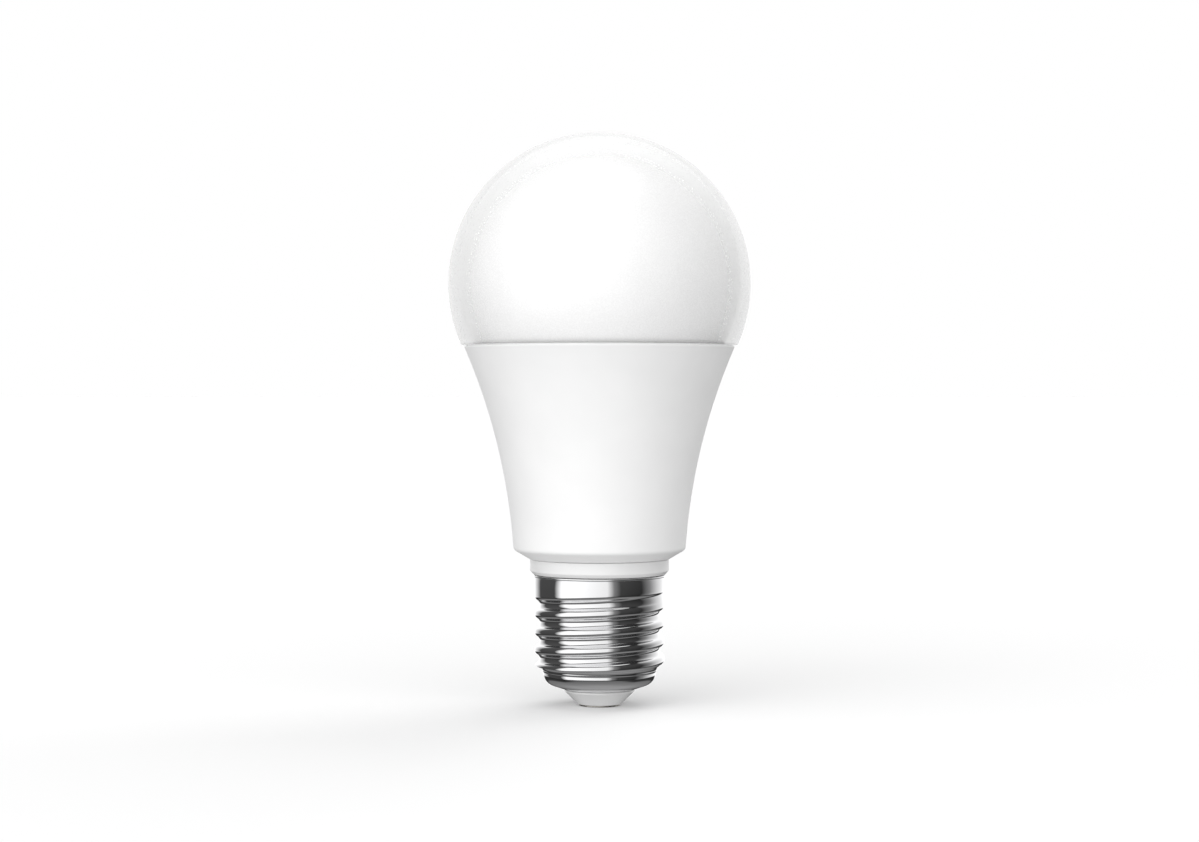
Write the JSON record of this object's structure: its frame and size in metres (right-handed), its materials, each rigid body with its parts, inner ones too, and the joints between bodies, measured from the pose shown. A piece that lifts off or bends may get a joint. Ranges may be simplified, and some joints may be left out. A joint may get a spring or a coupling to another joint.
{
  "type": "smart light bulb",
  "caption": "Smart LED light bulb with a round opal diffuser, a flared white housing and a threaded metal screw cap, with its light board, driver and radio inside.",
  "frame": {"origin": "centre of the tip contact's flat underside, the lowest point of the bulb", "axes": "+Z along the bulb's axis from the tip contact to the dome; +X to the right and +Y away from the viewer in the usual upright view"},
  "size_m": [0.0608, 0.0608, 0.1153],
  "materials": {
    "opal_diffuser": "opal white moulded plastic, satin gloss",
    "white_housing": "white moulded plastic, fine satin",
    "white_collar": "white moulded plastic, satin",
    "nickel_plate": "bright nickel plate on rolled brass",
    "grey_insulator": "light grey moulded plastic, smooth",
    "contact_plate": "nickel plated brass",
    "aluminium": "drawn, satin",
    "liner_plastic": "natural white, matt",
    "silicone": "cured white silicone",
    "thermal_silicone": "grey blue thermal pad",
    "white_solder_mask": "white solder mask on aluminium core board",
    "green_board": "green solder mask on glass fibre board",
    "warm_phosphor": "orange phosphor in a white package",
    "cool_phosphor": "yellow phosphor in a white package",
    "zinc_steel": "zinc plated",
    "black_component": "black moulding compound",
    "capacitor_sleeve": "dark shrink sleeve",
    "film_capacitor_case": "amber dipped epoxy",
    "varistor_coat": "blue dipped epoxy",
    "resistor_coat": "grey green lacquer",
    "ferrite": "sintered ferrite, matt",
    "enamelled_copper": "enamelled copper",
    "winding_tape": "yellow polyester tape over the winding",
    "tinned_steel": "tin plated",
    "white_connector": "ivory moulded nylon",
    "red_insulation": "red lead insulation",
    "black_insulation": "black lead insulation"
  },
  "bodies": {
    "root": {"centre_contact": "contact_plate", "cap_insulator": "grey_insulator", "screw_cap_shell": "nickel_plate", "neck_collar": "white_collar", "housing_shell": "white_housing", "diffuser_globe": "opal_diffuser", "diffuser_adhesive": "silicone", "heat_sink_cup": "aluminium", "heat_spreader": "aluminium", "driver_liner": "liner_plastic", "thermal_pad": "thermal_silicone", "led_board": "white_solder_mask", "warm_led_1": "warm_phosphor", "warm_led_2": "warm_phosphor", "warm_led_3": "warm_phosphor", "warm_led_4": "warm_phosphor", "warm_led_5": "warm_phosphor", "warm_led_6": "warm_phosphor", "warm_led_7": "warm_phosphor", "warm_led_8": "warm_phosphor", "cool_led_1": "cool_phosphor", "cool_led_2": "cool_phosphor", "cool_led_3": "cool_phosphor", "cool_led_4": "cool_phosphor", "cool_led_5": "cool_phosphor", "cool_led_6": "cool_phosphor", "cool_led_7": "cool_phosphor", "cool_led_8": "cool_phosphor", "board_screw_1": "zinc_steel", "board_screw_2": "zinc_steel", "board_screw_3": "zinc_steel", "led_feed_pins": "tinned_steel", "led_socket": "white_connector", "driver_board": "green_board", "fusible_resistor": "resistor_coat", "surge_varistor": "varistor_coat", "bridge_rectifier": "black_component", "film_capacitor": "film_capacitor_case", "bulk_capacitor": "capacitor_sleeve", "output_capacitor": "capacitor_sleeve", "choke_core": "ferrite", "choke_coil": "enamelled_copper", "transformer_core": "ferrite", "transformer_winding": "winding_tape", "driver_ic": "black_component", "dimming_ic": "black_component", "freewheel_diode": "black_component", "radio_board": "green_board", "radio_header": "black_component", "radio_shield_can": "tinned_steel", "radio_antenna": "enamelled_copper", "live_lead": "red_insulation", "neutral_lead": "black_insulation"}
  },
  "joints": []
}
